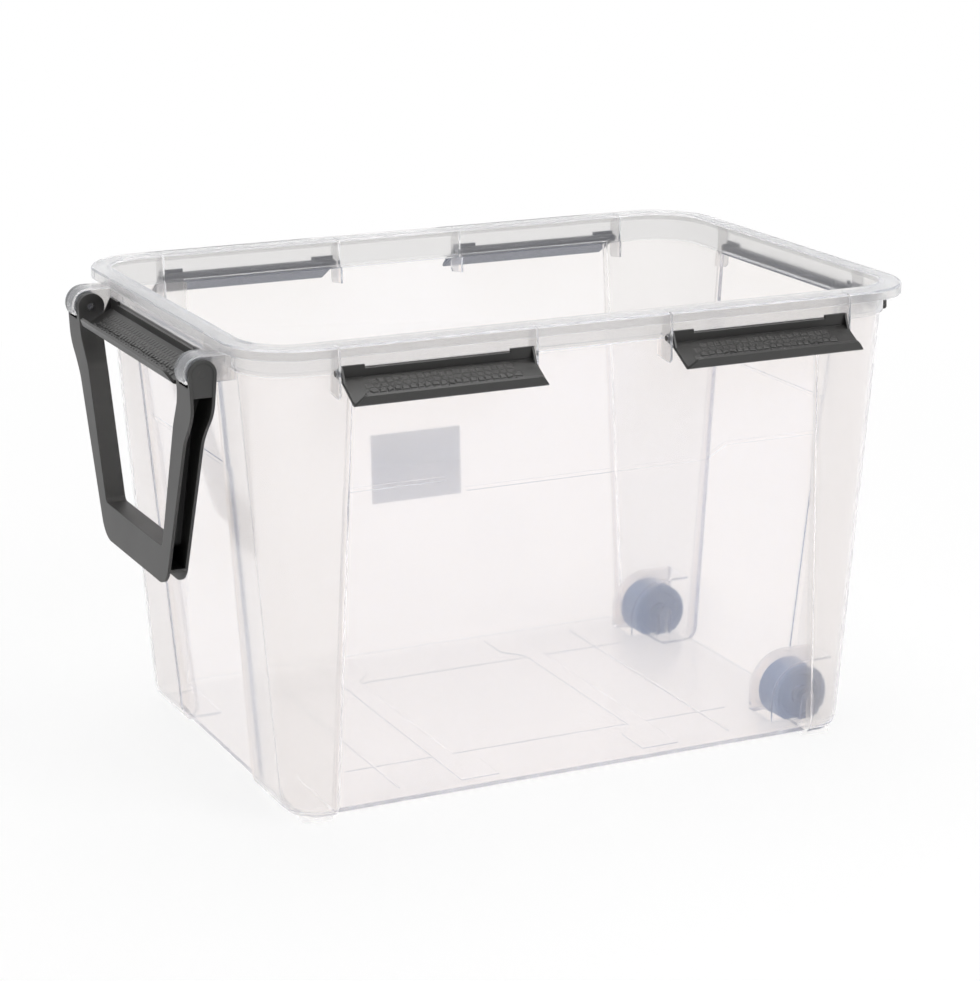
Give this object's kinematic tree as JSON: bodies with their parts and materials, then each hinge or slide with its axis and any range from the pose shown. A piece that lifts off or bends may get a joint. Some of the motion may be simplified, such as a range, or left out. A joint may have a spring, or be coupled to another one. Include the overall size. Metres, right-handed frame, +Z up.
{
  "type": "storage box",
  "caption": "Clear storage tub with a hooked rim, swing latches along every side, a pull handle at one end and wheels under the other.",
  "frame": {"origin": "on the ground under the centre of the opening", "axes": "+X towards the wheel end along the length, +Y towards the back, +Z up"},
  "size_m": [0.6946, 0.5038, 0.4175],
  "materials": {
    "clear_plastic": "translucent moulded polypropylene",
    "latch_plastic": "charcoal, fine satin",
    "handle_plastic": "dark grey, fine satin",
    "wheel_plastic": "dark blue grey, satin",
    "axle_plastic": "dark grey, satin",
    "label_paper": "blank blue grey paper"
  },
  "bodies": {
    "box": {"tub": "clear_plastic", "wheel_axle_front": "axle_plastic", "wheel_axle_back": "axle_plastic", "label": "label_paper"},
    "latch_front_left": {"latch_front_left": "latch_plastic"},
    "latch_front_right": {"latch_front_right": "latch_plastic"},
    "latch_back_left": {"latch_back_left": "latch_plastic"},
    "latch_back_right": {"latch_back_right": "latch_plastic"},
    "latch_wheel_end": {"latch_wheel_end": "latch_plastic"},
    "latch_handle_end": {"latch_handle_end": "latch_plastic"},
    "pull_handle": {"pull_handle": "handle_plastic"},
    "wheel_front": {"wheel_front": "wheel_plastic"},
    "wheel_back": {"wheel_back": "wheel_plastic"}
  },
  "joints": [
    {"name": "latch_front_left_hinge", "type": "hinge", "parent": "box", "child": "latch_front_left", "pos_m": [-0.1502, -0.2126, 0.3935], "axis": [-1, 0, 0], "range_deg": [0, 87.5]},
    {"name": "latch_front_right_hinge", "type": "hinge", "parent": "box", "child": "latch_front_right", "pos_m": [0.1502, -0.2126, 0.3935], "axis": [-1, 0, 0], "range_deg": [0, 87.5]},
    {"name": "latch_back_left_hinge", "type": "hinge", "parent": "box", "child": "latch_back_left", "pos_m": [-0.1502, 0.2126, 0.3935], "axis": [1, 0, 0], "range_deg": [0, 87.5]},
    {"name": "latch_back_right_hinge", "type": "hinge", "parent": "box", "child": "latch_back_right", "pos_m": [0.1502, 0.2126, 0.3935], "axis": [1, 0, 0], "range_deg": [0, 87.5]},
    {"name": "latch_wheel_end_hinge", "type": "hinge", "parent": "box", "child": "latch_wheel_end", "pos_m": [0.312, 0, 0.3935], "axis": [0, -1, 0], "range_deg": [0, 99]},
    {"name": "latch_handle_end_hinge", "type": "hinge", "parent": "box", "child": "latch_handle_end", "pos_m": [-0.312, 0, 0.3935], "axis": [0, 1, 0], "range_deg": [0, 99]},
    {"name": "pull_handle_hinge", "type": "hinge", "parent": "box", "child": "pull_handle", "pos_m": [-0.331, 0, 0.391], "axis": [0, 1, 0], "range_deg": [-8, 120]},
    {"name": "wheel_front_spin", "type": "hinge", "parent": "box", "child": "wheel_front", "pos_m": [0.2445, -0.135, 0.028], "axis": [0, 1, 0], "continuous": true},
    {"name": "wheel_back_spin", "type": "hinge", "parent": "box", "child": "wheel_back", "pos_m": [0.2445, 0.135, 0.028], "axis": [0, 1, 0], "continuous": true}
  ]
}
